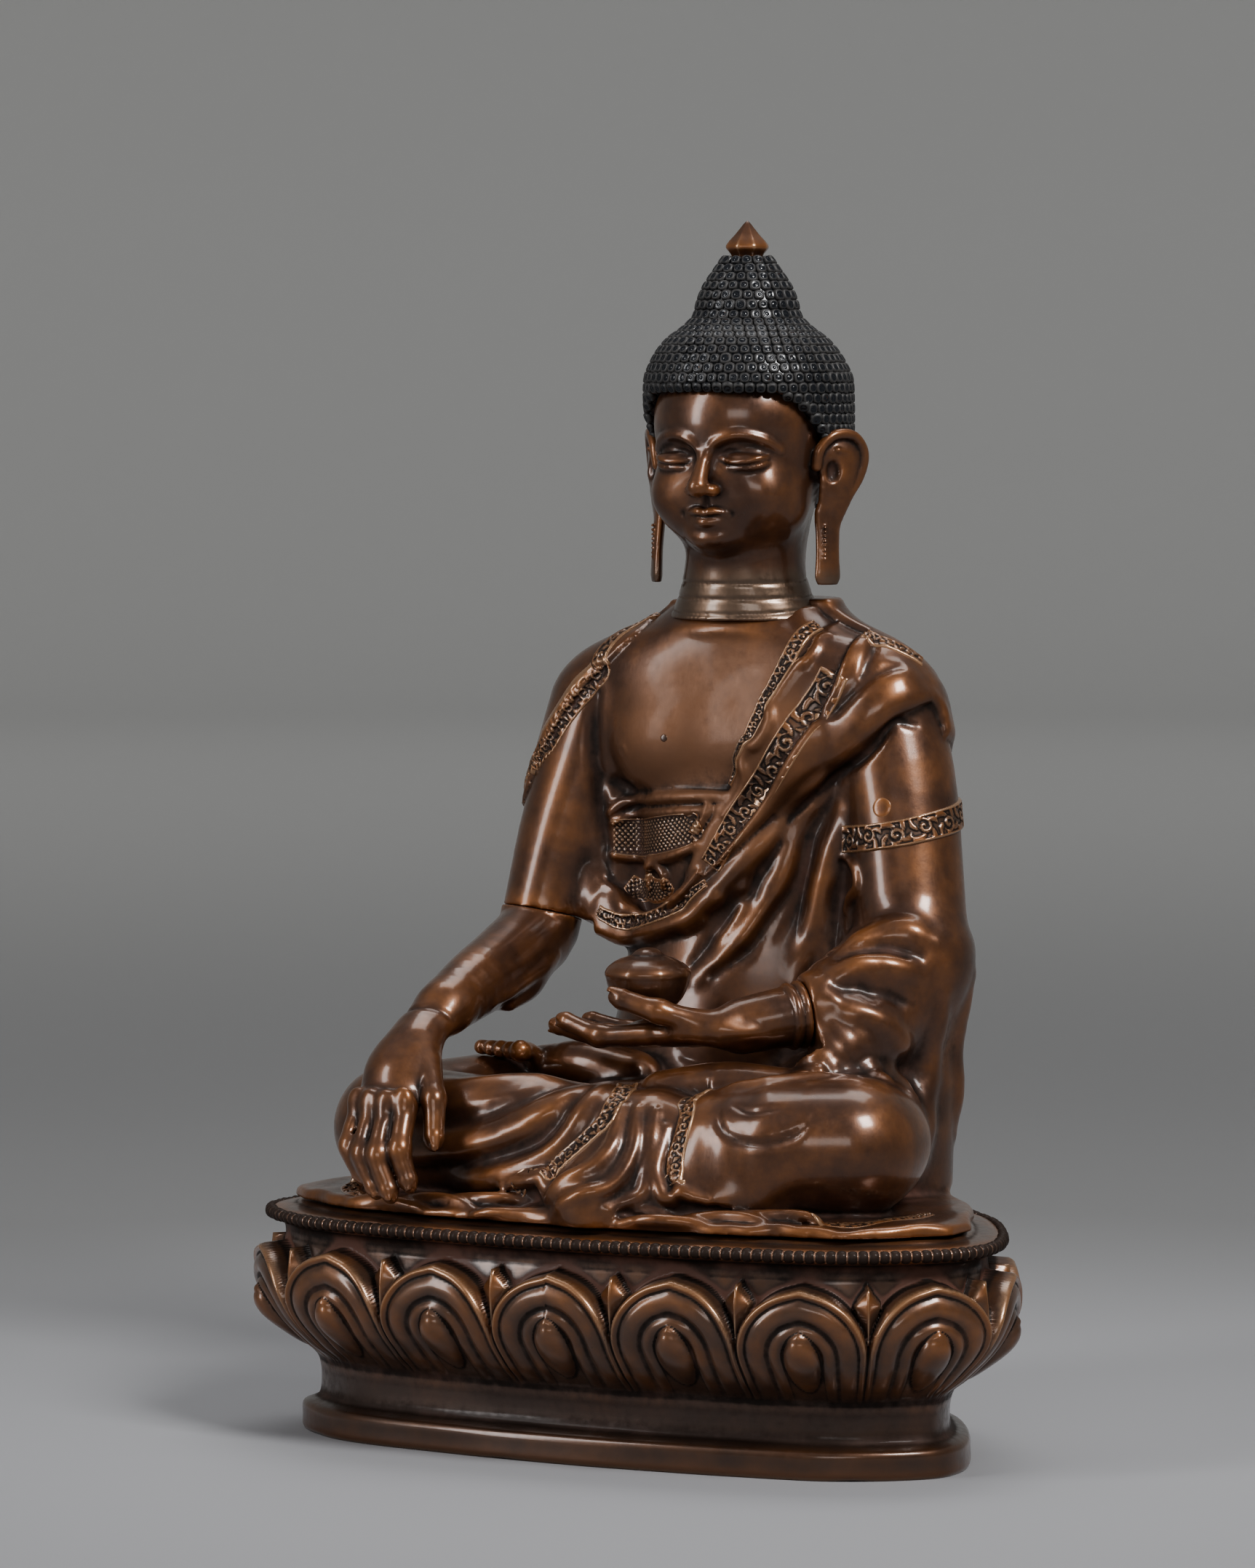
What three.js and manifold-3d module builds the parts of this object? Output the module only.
// A seated Buddha statue, hollow cast in copper by the lost-wax process and joined from separate castings.
// The body sits on a lotus throne, its two tangs wedged under the throne's deck. The head, the right forearm and
// the left hand are cast apart and fitted with tenons and rivets. A sheet-copper plate closes the throne below.
// Units are millimetres. +Z is up, the figure faces -Y, +X is its own left side, and the origin is under the
// middle of the foot.
import * as THREE from "three";
import { mergeVertices } from "three/addons/utils/BufferGeometryUtils.js";
import Module from "manifold-3d";

const wasm = await Module();
wasm.setup();

// ---- Driving dimensions ----
const GAP = 0.3; // air left between two fitted pieces
const WALL = 3.2; // wall of the hollow castings
const RIVET = 1.0; // radius of every rivet

const THRONE = {
  overhang: 9.5, // how far the deck's rim stands out past the neck of the foot
  foot: 6.5, // how far the rim stands out past the foot flange
  footTop: 5.2,
  neckLow: 7.6,
  petalLow: 13.2,
  petalTop: 32.4,
  bandTop: 36.2,
  rimTop: 39.2,
  deckTop: 40.2,
  petals: 16,
  bulge: 2.4, // how far the petals stand out past the rim
};
const PLATE = { low: 1.4, thick: 0.8, rebate: 2.6 };
const SKIRT = { inset: 6, thick: 3.0 };
const SEAT_Z = THRONE.deckTop + GAP;
const AXIS_Y = 29.5; // the torso, the neck and the head stand on this line
const NECK_Z = 140.5; // where the head casting meets the body
const NECK_R = 10.2;
const TENON_R = 6.6;
const HEAD = { z: 168.5, y: 29, wide: 15.2, deep: 16.6, high: 17.5 };
const HAIR = { z: 175, wide: 18.6, deep: 19.2, coneTop: 203.6, coneR: 4.2 };
const JEWEL = { z: 204, r: 3.9, high: 6.2, stem: 1.5, stemDeep: 6 };
const ELBOW = new THREE.Vector3(-35.6, 20.5, 88); // middle of the cut across the right arm
const CUFF = new THREE.Vector3(26.5, -0.5, 74.5); // middle of the cut at the left wrist
const BOWL = { x: -1, y: -6, low: 74.6, rim: 80.6, top: 85.2, r: 7.6 };

// The rim of the throne seen from above, right half, from the middle of the front to the middle of the back.
const RIM_HALF = [
  [0, -43],
  [28, -41.5],
  [50, -37.5],
  [66, -26],
  [69, -13],
  [62.5, 4],
  [50, 22],
  [29, 37.5],
  [0, 42.5],
];

// ---- Materials ----
const copper = new THREE.MeshStandardMaterial({ color: 0x5a3322, roughness: 0.35, metalness: 0.9 });
const blackHair = new THREE.MeshStandardMaterial({ color: 0x6a3d28, roughness: 0.4, metalness: 0.85 });
const sheet = new THREE.MeshStandardMaterial({ color: 0x9a5a3a, roughness: 0.4, metalness: 0.9 });
const rivetCopper = new THREE.MeshStandardMaterial({ color: 0x6e4630, roughness: 0.4, metalness: 0.9 });

// ---- From three.js geometry to solids, and back ----
function solid(geometry, matrix = new THREE.Matrix4()) {
  const bare = new THREE.BufferGeometry();
  const open = geometry.index ? geometry.toNonIndexed() : geometry;
  bare.setAttribute("position", open.getAttribute("position").clone());
  bare.applyMatrix4(matrix);
  const merged = mergeVertices(bare, 1e-4);
  const made = new wasm.Manifold(
    new wasm.Mesh({
      numProp: 3,
      vertProperties: merged.attributes.position.array,
      triVerts: new Uint32Array(merged.index.array),
    }),
  );
  return made;
}

function join(...solids) {
  return solids.reduce((all, s) => all.add(s));
}

function cut(body, ...tools) {
  return tools.reduce((left, tool) => left.subtract(tool), body);
}

const statue = new THREE.Group();

function addNode(name, made, material) {
  const found = made.getMesh();
  const positions = new Float32Array(found.numVert * 3);
  for (let i = 0; i < found.numVert; i++) {
    const start = i * found.numProp;
    positions.set(found.vertProperties.subarray(start, start + 3), i * 3);
  }
  const geometry = new THREE.BufferGeometry();
  geometry.setAttribute("position", new THREE.BufferAttribute(positions, 3));
  geometry.setIndex(new THREE.BufferAttribute(found.triVerts, 1));
  geometry.computeVertexNormals();
  const mesh = new THREE.Mesh(geometry, material);
  mesh.name = name;
  statue.add(mesh);
  return mesh;
}

// ---- Shapes ----
const UP = new THREE.Vector3(0, 1, 0);

// A matrix that stands a Y-up three.js shape on `from`, pointing at `to`. `turn` rolls it about its own length.
function along(from, to, turn = 0) {
  const way = to.clone().sub(from).normalize();
  const spin = new THREE.Quaternion().setFromAxisAngle(UP, turn);
  const aim = new THREE.Quaternion().setFromUnitVectors(UP, way).multiply(spin);
  return new THREE.Matrix4().compose(from, aim, new THREE.Vector3(1, 1, 1));
}

// A round limb from one point to another, whose radius follows `radii`, with domed ends. `flat` thins it.
function limb(from, to, radii, { flat = 1, turn = 0, sides = 18 } = {}) {
  const length = from.distanceTo(to);
  const first = radii[0];
  const last = radii[radii.length - 1];
  const profile = [new THREE.Vector2(0, -first * 0.9)];
  const dome = [0.5];
  dome.forEach((t) => profile.push(new THREE.Vector2(first * Math.sin(t * 1.57), -first * 0.9 * Math.cos(t * 1.57))));
  radii.forEach((r, i) => profile.push(new THREE.Vector2(r, (length * i) / (radii.length - 1))));
  dome
    .slice()
    .reverse()
    .forEach((t) =>
      profile.push(new THREE.Vector2(last * Math.sin(t * 1.57), length + last * 0.9 * Math.cos(t * 1.57))),
    );
  profile.push(new THREE.Vector2(0, length + last * 0.9));
  const shape = new THREE.LatheGeometry(profile, sides);
  shape.scale(1, 1, flat);
  return solid(shape, along(from, to, turn));
}

function blob(x, y, z, rx, ry, rz, { sides = 20, rings = 12, tilt = 0, yaw = 0 } = {}) {
  const shape = new THREE.SphereGeometry(1, sides, rings);
  shape.rotateX(Math.PI / 2);
  shape.scale(rx, ry, rz);
  const turn = new THREE.Quaternion().setFromEuler(new THREE.Euler(tilt, 0, yaw, "ZXY"));
  return solid(shape, new THREE.Matrix4().compose(new THREE.Vector3(x, y, z), turn, new THREE.Vector3(1, 1, 1)));
}

// A round bar between two points, for pins, rivets, tenons and the holes that take them.
function bar(from, to, radius, sides = 16) {
  const length = from.distanceTo(to);
  const shape = new THREE.CylinderGeometry(radius, radius, length, sides);
  shape.translate(0, length / 2, 0);
  return solid(shape, along(from, to));
}

function box(low, high) {
  const size = high.clone().sub(low);
  const shape = new THREE.BoxGeometry(size.x, size.y, size.z);
  const middle = low.clone().add(high).multiplyScalar(0.5);
  return solid(shape, new THREE.Matrix4().makeTranslation(middle.x, middle.y, middle.z));
}

// A standing form whose level sections are ellipses: each row is [z, half width, half depth, middle y].
function stacked(rows, { sides = 28, x = 0 } = {}) {
  const profile = rows.map(([z]) => new THREE.Vector2(1, z));
  profile.unshift(new THREE.Vector2(0, rows[0][0]));
  profile.push(new THREE.Vector2(0, rows[rows.length - 1][0]));
  const shape = new THREE.LatheGeometry(profile, sides);
  const at = shape.getAttribute("position");
  for (let i = 0; i < at.count; i++) {
    const z = at.getY(i);
    const row = rows.find((r) => Math.abs(r[0] - z) < 1e-4);
    at.setXYZ(i, x + at.getX(i) * row[1], row[3] - at.getZ(i) * row[2], z);
  }
  return solid(shape);
}

// ---- The throne's outline: the rim's closed curve, and the same curve moved in or out ----
const rimPoints = [
  ...RIM_HALF,
  ...RIM_HALF.slice(1, -1)
    .reverse()
    .map(([x, y]) => [-x, y]),
].map(([x, y]) => new THREE.Vector3(x, y, 0));
const rimCurve = new THREE.CatmullRomCurve3(rimPoints, true, "centripetal");

function rimAt(share) {
  const turn = ((share % 1) + 1) % 1;
  const point = rimCurve.getPointAt(turn);
  const way = rimCurve.getTangentAt(turn);
  return { point, out: new THREE.Vector3(way.y, -way.x, 0) };
}

// Turns a profile of [offset from the rim, z] round the throne. `press` may push a point out where it says.
function turned(profile, sides, press = () => 0) {
  const around = Array.from({ length: sides }, (_, i) => rimAt(i / sides));
  const rows = profile.map(([offset, z]) => new THREE.Vector2(offset === null ? 0 : 1, z));
  const shape = new THREE.LatheGeometry(rows, sides);
  const at = shape.getAttribute("position");
  const perSide = profile.length;
  for (let i = 0; i < at.count; i++) {
    const side = Math.floor(i / perSide) % sides;
    const [offset, z] = profile[i % perSide];
    if (offset === null) {
      at.setXYZ(i, 0, 0, z);
      continue;
    }
    const { point, out } = around[side];
    const move = offset + press(side / sides, z);
    at.setXYZ(i, point.x + out.x * move, point.y + out.y * move, z);
  }
  return solid(shape);
}

// How far a lotus petal stands out: rounded across its width, fullest two thirds of the way up.
function petal(share, z) {
  const { petalLow, petalTop, petals, bulge } = THRONE;
  const up = (z - petalLow) / (petalTop - petalLow);
  if (up <= 0 || up > 1.001) return 0;
  const across = Math.cos(share * petals * Math.PI * 2) * 0.5 + 0.5;
  const full = Math.sin(Math.min(1, up * 1.7) * Math.PI * 0.5) * (1.15 - 0.5 * up);
  return (0.25 + 0.75 * Math.sqrt(across)) * full * bulge;
}

function throneCasting() {
  const t = THRONE;
  const outside = [
    [null, 0],
    [-t.foot, 0],
    [-t.foot, t.footTop],
    [-t.overhang, t.neckLow],
    [-t.overhang, t.petalLow],
    [-4.6, 16.5],
    [0.2, 21],
    [1.4, 26],
    [0.2, t.petalTop],
    [-4.2, t.petalTop + 0.8],
    [-3.4, t.bandTop],
    [-0.2, t.bandTop + 0.4],
    [-0.2, t.rimTop - 0.8],
    [-1.6, t.deckTop],
    [null, t.deckTop],
  ];
  const inside = [
    [null, -1],
    [-t.foot - WALL, -1],
    [-t.foot - WALL, t.footTop],
    [-t.overhang - WALL, t.neckLow],
    [-t.overhang - WALL, t.petalLow + 1],
    [-3.6 - WALL, 24],
    [-3.6 - WALL, t.deckTop - WALL],
    [null, t.deckTop - WALL],
  ];
  const rebate = [
    [null, -1],
    [-t.foot - PLATE.rebate, -1],
    [-t.foot - PLATE.rebate, PLATE.low + PLATE.thick + GAP],
    [null, PLATE.low + PLATE.thick + GAP],
  ];
  const ledge = [
    [-t.foot - WALL + 0.2, PLATE.low + PLATE.thick + GAP],
    [-t.foot - WALL - 3, PLATE.low + PLATE.thick + GAP],
    [-t.foot - WALL - 3, PLATE.low + PLATE.thick + 2.2],
    [-t.foot - WALL + 0.2, PLATE.low + PLATE.thick + 3.6],
    [-t.foot - WALL + 0.2, PLATE.low + PLATE.thick + GAP],
  ];
  let made = turned(outside, t.petals * 6, petal);
  made = cut(made, turned(inside, 28));
  made = join(made, turned(ledge.slice().reverse(), 28));
  made = cut(made, turned(rebate, 48));
  // Burrs raised with a chisel along the foot's inner edge hold the plate in its rebate.
  const burrs = 8;
  for (let i = 0; i < burrs; i++) {
    const { point, out } = rimAt((i + 0.5) / burrs);
    const edge = point.clone().addScaledVector(out, -t.foot - PLATE.rebate + 0.6);
    const tip = edge.clone().addScaledVector(out, -3.4);
    edge.z = 0.55;
    tip.z = 0.65;
    made = join(made, limb(edge, tip, [0.5, 0.35], { sides: 8 }));
  }
  // A slot in the deck for each of the body's tangs, and a large hole under the hollow of the body.
  TANGS.forEach(({ y }) => (made = cut(made, tangBlock(y, GAP, t.deckTop - WALL - 1, t.deckTop + 1))));
  return cut(made, bar(new THREE.Vector3(0, 14, 30), new THREE.Vector3(0, 14, 45), 10, 24));
}

// ---- The two tangs under the body and their wedges ----
const TANG = { wide: 5, thick: 2.6, low: 29, wedge: 1.15 };
const TANGS = [{ y: -12 }, { y: 29 }];

function tangBlock(y, grow, low, high) {
  return box(
    new THREE.Vector3(-TANG.wide - grow, y - TANG.thick / 2 - grow, low),
    new THREE.Vector3(TANG.wide + grow, y + TANG.thick / 2 + grow, high),
  );
}

function wedgeEnds(y, reach) {
  const z = THRONE.deckTop - WALL - GAP - TANG.wedge;
  return [new THREE.Vector3(0, y - reach, z), new THREE.Vector3(0, y + reach, z)];
}

// ---- The body: torso, upper arms, left sleeve, crossed legs and the robe's skirt, in one casting ----
function torso() {
  return stacked(
    [
      [52, 26, 18, 22],
      [66, 23, 16, 24],
      [80, 20.5, 14, 27],
      [94, 19.2, 13, 28.6],
      [108, 21, 13.6, AXIS_Y],
      [120, 25.5, 14, AXIS_Y],
      [128, 31, 13, AXIS_Y + 0.4],
      [133, 29, 12.4, AXIS_Y + 0.6],
      [137, 23.5, 11.4, AXIS_Y + 0.4],
      [NECK_Z - GAP, 14, 10.6, AXIS_Y],
    ],
    { sides: 20 },
  );
}

// Both arms. The robe joins each of them to the torso, with no gap above the elbow.
function arms() {
  const v = (x, y, z) => new THREE.Vector3(x, y, z);
  const options = { sides: 12 };
  const right = limb(v(-27.5, 29.5, 124), v(-35.4, 22.5, 92), [10.4, 9.4, 8.6, 7.4], options);
  const rightWeb = limb(v(-24, 28.5, 120), v(-22.5, 25, 89), [11, 10.5, 7.5], { flat: 0.7, sides: 12 });
  const left = limb(v(27.5, 29.5, 125), v(36.5, 21, 84), [12, 10.4, 9.8, 9.6], options);
  const leftWeb = limb(v(25, 29, 120), v(25, 24, 58), [12, 12, 11], { flat: 0.72, sides: 12 });
  const sleeve = limb(v(37, 19, 82), v(28.5, 2.5, 75.6), [9.2, 8.4, 6.2], options);
  const drape = stacked(
    [
      [46, 7.4, 10.4, 18.5],
      [60, 7.4, 9.2, 21],
      [84, 8.8, 9.2, 21],
    ],
    { sides: 14, x: 35.5 },
  );
  return join(right, rightWeb, left, leftWeb, sleeve, drape);
}

function legs() {
  const v = (x, y, z) => new THREE.Vector3(x, y, z);
  const thigh = { flat: 0.85, sides: 12 };
  const shin = { flat: 0.9, sides: 12 };
  const rightThigh = limb(v(-18, 22, 56), v(-48.5, -6, 54), [14, 12.5, 11.5], thigh);
  const leftThigh = limb(v(18, 22, 56), v(46, -8, 54), [14, 12.8, 12], thigh);
  const rightShin = limb(v(-48, -13, 53.5), v(2, -21, 54), [11.5, 11, 9], shin);
  const leftShin = limb(v(44.5, -14, 53), v(8, -22, 51), [12, 11.5, 9.5], shin);
  const crossing = blob(0, -7, 56, 24, 19, 8.5, { sides: 14, rings: 8 });
  const rightFoot = limb(v(6, -13, 61), v(31, -7, 61.5), [5, 5.2, 4], { sides: 10 });
  const leftFoot = limb(v(-10, 4, 62), v(-34, 4, 63), [5, 5, 3.8], { sides: 10 });
  return join(rightThigh, leftThigh, rightShin, leftShin, crossing, rightFoot, leftFoot);
}

function skirt() {
  const low = SEAT_Z;
  const high = SEAT_Z + SKIRT.thick;
  const mound = stacked([
    [SEAT_Z, 54, 34, -3],
    [49, 48, 29, -2],
    [55, 38, 22, 2],
  ]);
  const cloth = turned(
    [
      [null, low],
      [-SKIRT.inset, low],
      [-SKIRT.inset, high - 0.6],
      [-SKIRT.inset - 1.2, high],
      [null, high],
    ],
    40,
  );
  return join(cloth, mound);
}

function bodyHollow() {
  const inner = stacked(
    [
      [SEAT_Z - 1, 9.6, 9.6, 14],
      [47, 9.6, 9.6, 14],
      [54, 21, 13, 19],
      [66, 19, 12.6, 23],
      [82, 17, 10.6, 27.5],
      [100, 15, 9.6, AXIS_Y],
      [116, 19, 10.2, AXIS_Y],
      [127, 19, 9, AXIS_Y],
      [131, 12, 7, AXIS_Y],
      [133, 3, 3, AXIS_Y],
    ],
    { sides: 14 },
  );
  const v = (x, y, z) => new THREE.Vector3(x, y, z);
  const options = { sides: 8 };
  const rightLeg = limb(v(-12, 16, 55), v(-44, -10, 53.5), [7, 7.5, 7], options);
  const leftLeg = limb(v(12, 16, 55), v(43, -10, 53.5), [7, 7.5, 7.5], options);
  return join(inner, rightLeg, leftLeg);
}

// The right arm is cut square across above the elbow, and the left sleeve across the wrist.
const ARM_WAY = new THREE.Vector3(-0.1, -0.2, -0.97).normalize();
const CUFF_WAY = new THREE.Vector3(-0.72, -0.68, -0.12).normalize();

function beyond(point, way, gap) {
  const start = point.clone().addScaledVector(way, gap);
  return bar(start, start.clone().addScaledVector(way, 26), 13, 20);
}

function bodyCasting() {
  let made = join(torso(), legs(), skirt());
  made = join(made, cut(arms(), beyond(ELBOW, ARM_WAY, -GAP / 2), beyond(CUFF, CUFF_WAY, -GAP / 2)));
  TANGS.forEach(({ y }) => (made = join(made, tangBlock(y, 0, TANG.low, 48))));
  made = cut(made, bodyHollow());
  // Sockets for the three tenons, holes for their rivets and for the wedges, and seats for the core plugs.
  made = cut(made, tenonBar("neck", GAP), tenonBar("elbow", GAP), tenonBar("cuff", GAP));
  TANGS.forEach(({ y }) => (made = cut(made, bar(...wedgeEnds(y, 6), TANG.wedge + GAP, 10))));
  Object.values(RIVETS).forEach((r) => (made = cut(made, bar(r.from, r.to, RIVET + GAP, 10))));
  Object.values(PLUGS).forEach((p) => (made = cut(made, plugBar(p, GAP))));
  return made;
}

// ---- Tenons, rivets and core plugs ----
const TENONS = {
  neck: { from: new THREE.Vector3(0, AXIS_Y, NECK_Z + 1), way: new THREE.Vector3(0, 0, -1), deep: 9, r: TENON_R },
  elbow: { from: ELBOW.clone().addScaledVector(ARM_WAY, 1), way: ARM_WAY.clone().negate(), deep: 8, r: 3.4 },
  cuff: { from: CUFF.clone().addScaledVector(CUFF_WAY, 1), way: CUFF_WAY.clone().negate(), deep: 8, r: 2.8 },
};

function tenonBar(name, grow) {
  const { from, way, deep, r } = TENONS[name];
  return bar(from, from.clone().addScaledVector(way, deep + grow), r + grow, 20);
}

function rivetAt(name, side, reach) {
  const { from, way, deep } = TENONS[name];
  const middle = from.clone().addScaledVector(way, deep * 0.6);
  return {
    from: middle.clone().addScaledVector(side, reach),
    to: middle.clone().addScaledVector(side, -2.2),
  };
}

const RIVETS = {
  neck_rivet: rivetAt("neck", new THREE.Vector3(0, 1, 0), 11.9),
  elbow_rivet: rivetAt("elbow", new THREE.Vector3(0, 0.979, -0.2), 8),
  wrist_rivet: rivetAt("cuff", new THREE.Vector3(0.1, -0.28, -0.95), 6.4),
};

// Round plugs close the holes that the core's iron pins left in the wall.
const PLUGS = {
  core_plug_chest: { at: new THREE.Vector3(-8.8, 16.6, 120), way: new THREE.Vector3(-0.25, -0.97, 0), r: 1.1 },
  core_plug_left_arm: { at: new THREE.Vector3(32.4, 16.3, 109), way: new THREE.Vector3(-0.18, -0.98, 0), r: 1.7 },
  core_plug_back: { at: new THREE.Vector3(-8.8, 42.6, 120), way: new THREE.Vector3(-0.25, 0.97, 0), r: 1.7 },
};

function plugBar({ at, way, r }, grow) {
  const inner = at.clone().addScaledVector(way, -2.2 - grow);
  return bar(inner, at.clone().addScaledVector(way, grow ? 6 : 0.3), r + grow, 12);
}

// ---- The head: neck, face, ears and hair in one casting ----
function headCasting() {
  const v = (x, y, z) => new THREE.Vector3(x, y, z);
  const { z, y, wide, deep, high } = HEAD;
  const skull = blob(0, y, z, wide, deep, high, { sides: 20, rings: 12 });
  const jaw = blob(0, y - 3, z - 7, wide * 0.78, deep * 0.78, 9.5, { sides: 16, rings: 8 });
  const neck = stacked(
    [
      [NECK_Z + GAP, NECK_R + 0.8, NECK_R + 0.2, AXIS_Y],
      [144, NECK_R - 0.2, NECK_R - 0.4, AXIS_Y],
      [158, NECK_R - 0.6, NECK_R - 0.6, AXIS_Y + 1],
    ],
    { sides: 20 },
  );
  const nose = limb(v(0, y - deep + 0.6, z + 2.5), v(0, y - deep - 1.4, z - 5.6), [1.4, 2.2], { sides: 8 });
  const lips = blob(0, y - deep + 1.6, z - 9.6, 4, 2, 1.3, { sides: 10, rings: 6 });
  const lids = [-1, 1].map((side) =>
    blob(side * 6, y - deep + 2.6, z - 0.6, 3.6, 2, 1.7, { sides: 10, rings: 6, yaw: side * 0.4 }),
  );
  const hairline = HAIR.z + 6;
  const cap = stacked(
    [
      [hairline, HAIR.wide - 0.8, HAIR.deep - 1, AXIS_Y],
      [HAIR.z + 8.6, HAIR.wide, HAIR.deep - 0.4, AXIS_Y],
      [HAIR.z + 11.4, 17.2, 17.6, AXIS_Y],
      [HAIR.z + 15, 13.8, 14, AXIS_Y],
      [HAIR.z + 17.6, 10, 10.2, AXIS_Y],
      [HAIR.z + 21.2, 9, 9, AXIS_Y],
      [HAIR.z + 26, 6.4, 6.4, AXIS_Y],
      [HAIR.coneTop, HAIR.coneR, HAIR.coneR, AXIS_Y],
    ],
    { sides: 20 },
  );
  const nape = stacked(
    [
      [HAIR.z - 12, 13.4, 8, AXIS_Y + 8.6],
      [HAIR.z - 5, 16.6, 11.6, AXIS_Y + 6],
      [hairline + 1, HAIR.wide - 0.8, HAIR.deep - 2.4, AXIS_Y + 1.4],
    ],
    { sides: 16 },
  );
  const ears = [-1, 1].map((side) => {
    const shell = blob(side * 18.4, y + 2, 166.5, 2, 4.4, 7, { sides: 10, rings: 8, yaw: side * 0.5 });
    const lobe = limb(v(side * 17.4, y, 161), v(side * 16.8, y - 1.4, 148.4), [2, 2.2, 2.4], {
      flat: 0.5,
      turn: Math.PI / 2,
      sides: 10,
    });
    const root = limb(v(side * 12, y + 3.6, 166), v(side * 17.6, y + 2.4, 165.5), [3.6, 3], { sides: 8 });
    return join(shell, lobe, root);
  });
  let made = join(skull, jaw, neck, nose, lips, ...lids, cap, nape, ...ears, tenonBar("neck", 0));
  const hollow = join(
    bar(v(0, AXIS_Y, 128), v(0, AXIS_Y, 160), 3.6, 14),
    blob(0, y + 0.6, z + 4, wide - WALL - 0.6, deep - WALL, high - WALL, { sides: 12, rings: 8 }),
  );
  made = cut(made, hollow, jewelStem(GAP));
  return cut(made, bar(RIVETS.neck_rivet.from, RIVETS.neck_rivet.to, RIVET + GAP, 10));
}

function jewelStem(grow) {
  const foot = new THREE.Vector3(0, AXIS_Y, JEWEL.z - JEWEL.stemDeep - grow);
  return bar(foot, new THREE.Vector3(0, AXIS_Y, JEWEL.z + 1), JEWEL.stem + grow, 12);
}

function jewel() {
  const { r, high } = JEWEL;
  const shape = new THREE.LatheGeometry(
    [
      [0, 0],
      [r * 0.86, 0],
      [r, high * 0.28],
      [r * 0.98, high * 0.42],
      [r * 0.5, high * 0.76],
      [0, high],
    ].map(([a, b]) => new THREE.Vector2(a, b)),
    12,
  );
  shape.rotateX(Math.PI / 2);
  const seat = new THREE.Matrix4().makeTranslation(0, AXIS_Y, JEWEL.z);
  return join(solid(shape, seat), jewelStem(0));
}

// ---- Hands. A finger is a chain of three limbs. ----
function finger(points, radius) {
  const at = points.map((p) => new THREE.Vector3(...p));
  const pieces = at.slice(1).map((p, i) => limb(at[i], p, [radius, radius * 0.92], { sides: 6 }));
  return join(...pieces);
}

function rightForearm() {
  const v = (x, y, z) => new THREE.Vector3(x, y, z);
  const round = { sides: 12 };
  const elbow = limb(v(-35.6, 21.5, 92), v(-36, 19, 84), [7.2, 7], round);
  const forearm = limb(v(-36, 18, 84), v(-36, -13, 75), [7, 6.4, 5], round);
  const wrist = limb(v(-36, -13, 75), v(-37.5, -27, 65.5), [4.9, 6], { flat: 0.72, turn: 0.1, sides: 12 });
  const palm = limb(v(-37.5, -27, 65.5), v(-37, -34, 57), [6.2, 6], { flat: 0.6, turn: 0.1, sides: 12 });
  const fingers = [
    finger([[-41.5, -34, 58], [-41.2, -37.6, 52], [-38.6, -38.8, 47.6]], 1.7),
    finger([[-38.6, -35, 58], [-38.2, -38.8, 51], [-35.4, -39.6, 45.6]], 1.8),
    finger([[-35.4, -35.4, 58], [-34.8, -39.4, 51], [-32.4, -40, 45.2]], 1.8),
    finger([[-32.2, -35, 58.6], [-31.2, -38.6, 52], [-29.4, -39, 47]], 1.8),
    finger([[-33, -26, 67], [-28.6, -31, 60.5], [-27.6, -33, 53.6]], 2.0),
  ];
  let made = join(elbow, forearm, wrist, palm, ...fingers);
  made = cut(made, beyond(ELBOW, ARM_WAY.clone().negate(), -GAP / 2));
  made = join(made, tenonBar("elbow", 0));
  return cut(made, bar(RIVETS.elbow_rivet.from, RIVETS.elbow_rivet.to, RIVET + GAP, 10));
}

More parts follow.
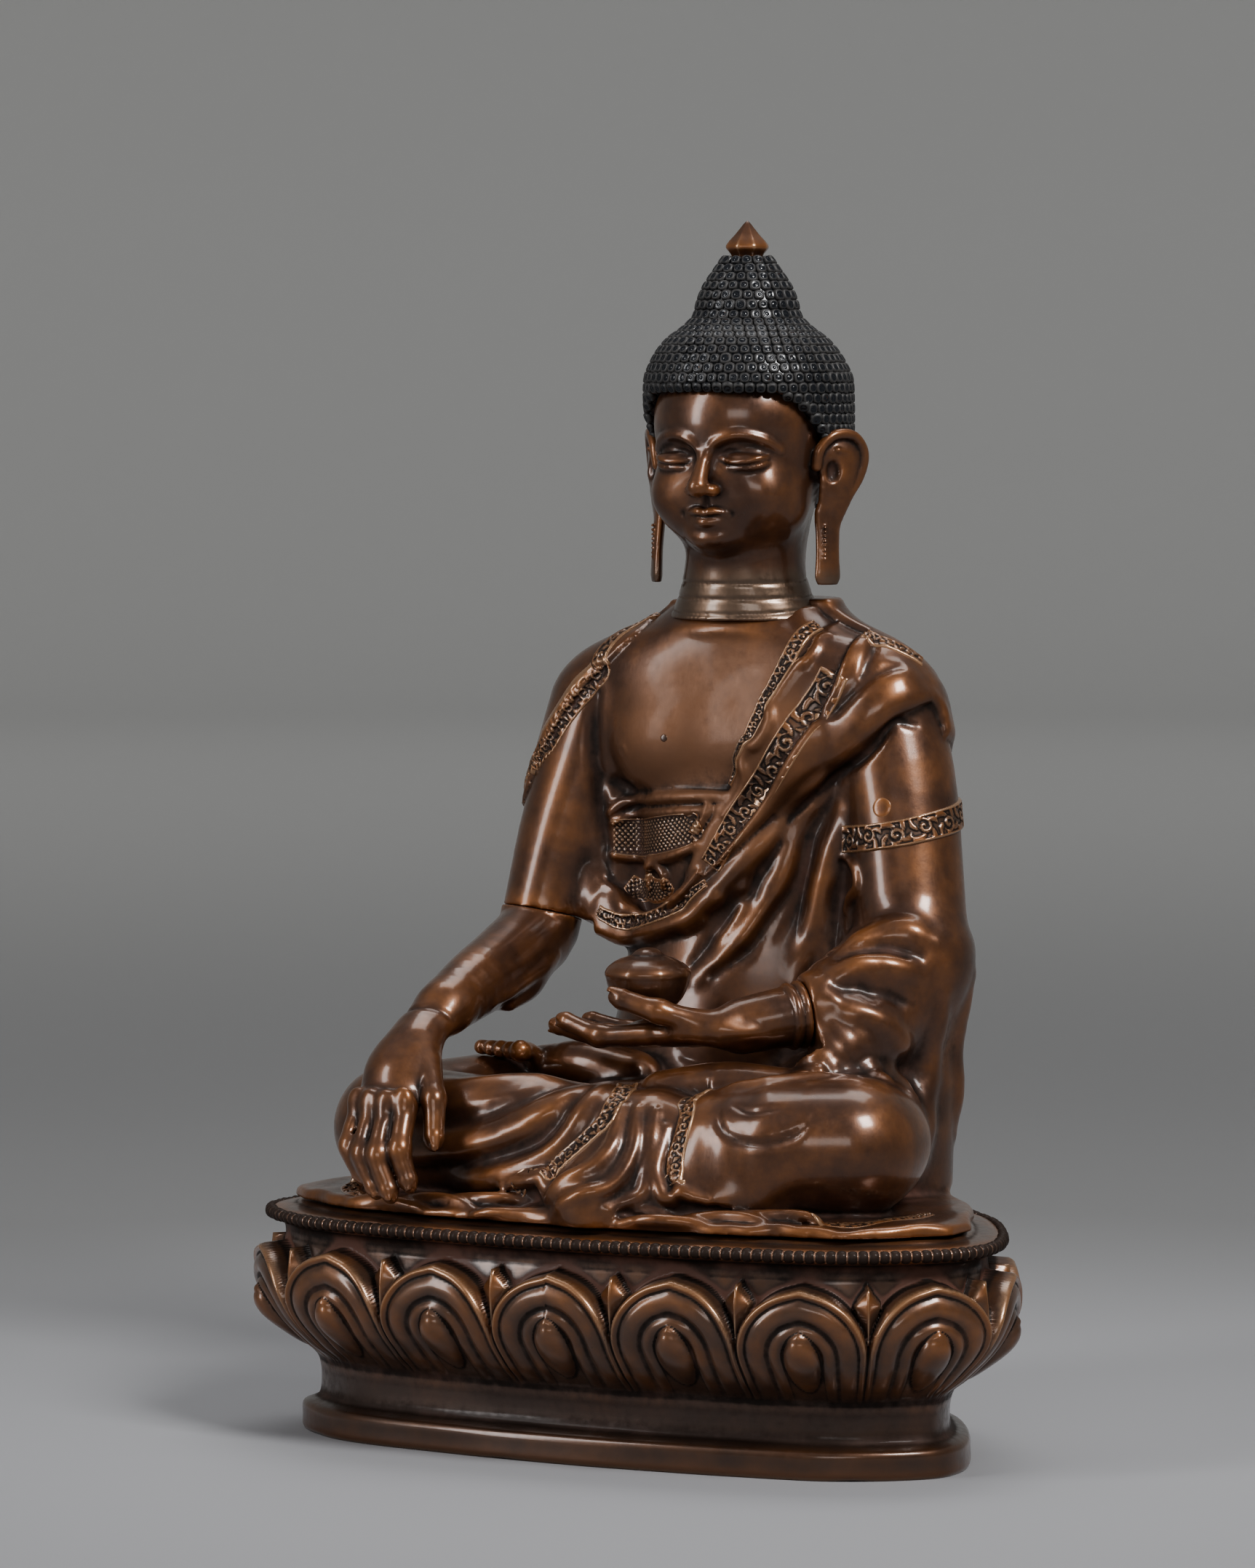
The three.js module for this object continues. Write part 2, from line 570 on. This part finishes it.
function leftHand() {
  const v = (x, y, z) => new THREE.Vector3(x, y, z);
  const wrist = limb(v(30, 4, 75.4), v(17, -6, 72.4), [5.4, 4.8], { sides: 12 });
  const palm = limb(v(17, -6.5, 72), v(1, -6.8, 70.8), [5, 6.4, 6], { flat: 0.5, sides: 12 });
  const fingers = [
    finger([[2, -11.4, 70.8], [-7, -12, 70.6], [-14.6, -11, 72.6]], 1.7),
    finger([[1, -8.2, 70.4], [-9, -8.6, 69.9], [-17, -8.2, 71.4]], 1.8),
    finger([[1, -5, 70.4], [-9, -5, 70], [-16.6, -5, 71.6]], 1.8),
    finger([[2, -2, 70.8], [-7, -1.6, 70.6], [-14, -2, 72]], 1.6),
    finger([[14, -8.6, 72.4], [5.4, -14, 75.2], [-1.6, -15, 77.2]], 2.1),
  ];
  let made = join(wrist, palm, ...fingers);
  made = cut(made, beyond(CUFF, CUFF_WAY.clone().negate(), -GAP / 2));
  made = join(made, tenonBar("cuff", 0));
  made = cut(made, bar(RIVETS.wrist_rivet.from, RIVETS.wrist_rivet.to, RIVET + GAP, 10));
  return cut(made, bowlPeg(GAP), cut(bowlOutside(0.3), box(v(-30, -30, 90), v(30, 30, 91))));
}

// ---- The alms bowl with its heaped offering, and the peg that holds it in the palm ----
function bowlOutside(grow) {
  const { x, y, low, rim, top, r } = BOWL;
  const shape = new THREE.LatheGeometry(
    [
      [0, low - grow],
      [r * 0.56 + grow, low - grow],
      [r * 0.84 + grow, (low + rim) / 2],
      [r + grow, rim - 0.5],
      [r * 0.97 + grow, rim + 0.7],
      [r * 0.78 + grow, (rim + top) / 2 + 0.4],
      [r * 0.45 + grow, top - 0.6],
      [0, top + grow],
    ].map(([a, b]) => new THREE.Vector2(a, b)),
    20,
  );
  shape.rotateX(Math.PI / 2);
  return solid(shape, new THREE.Matrix4().makeTranslation(x, y, 0));
}

function bowlPeg(grow) {
  const { x, y, low } = BOWL;
  return bar(new THREE.Vector3(x, y, low - 3 - grow), new THREE.Vector3(x, y, low + 3 + grow), RIVET + grow, 12);
}

// ---- The plate that closes the throne ----
function basePlate() {
  const edge = -THRONE.foot - PLATE.rebate - GAP;
  return turned(
    [
      [null, PLATE.low],
      [edge, PLATE.low],
      [edge, PLATE.low + PLATE.thick],
      [null, PLATE.low + PLATE.thick],
    ],
    48,
  );
}

// ---- Assembly ----
addNode("throne_casting", throneCasting(), copper);
addNode("base_plate", basePlate(), sheet);
addNode("body_casting", bodyCasting(), copper);
addNode("head_casting", headCasting(), blackHair);
addNode("finial_jewel", jewel(), copper);
addNode("right_forearm_casting", rightForearm(), copper);
addNode("left_hand_casting", leftHand(), copper);
addNode("alms_bowl", cut(bowlOutside(0), bowlPeg(GAP)), copper);
addNode("bowl_peg", bowlPeg(0), rivetCopper);
Object.entries(RIVETS).forEach(([name, r]) => addNode(name, bar(r.from, r.to, RIVET, 12), rivetCopper));
Object.entries(PLUGS).forEach(([name, p]) => addNode(name, plugBar(p, 0), rivetCopper));
TANGS.forEach(({ y }, i) => {
  addNode(i === 0 ? "front_wedge" : "rear_wedge", bar(...wedgeEnds(y, 5), TANG.wedge, 12), rivetCopper);
});

export default statue;
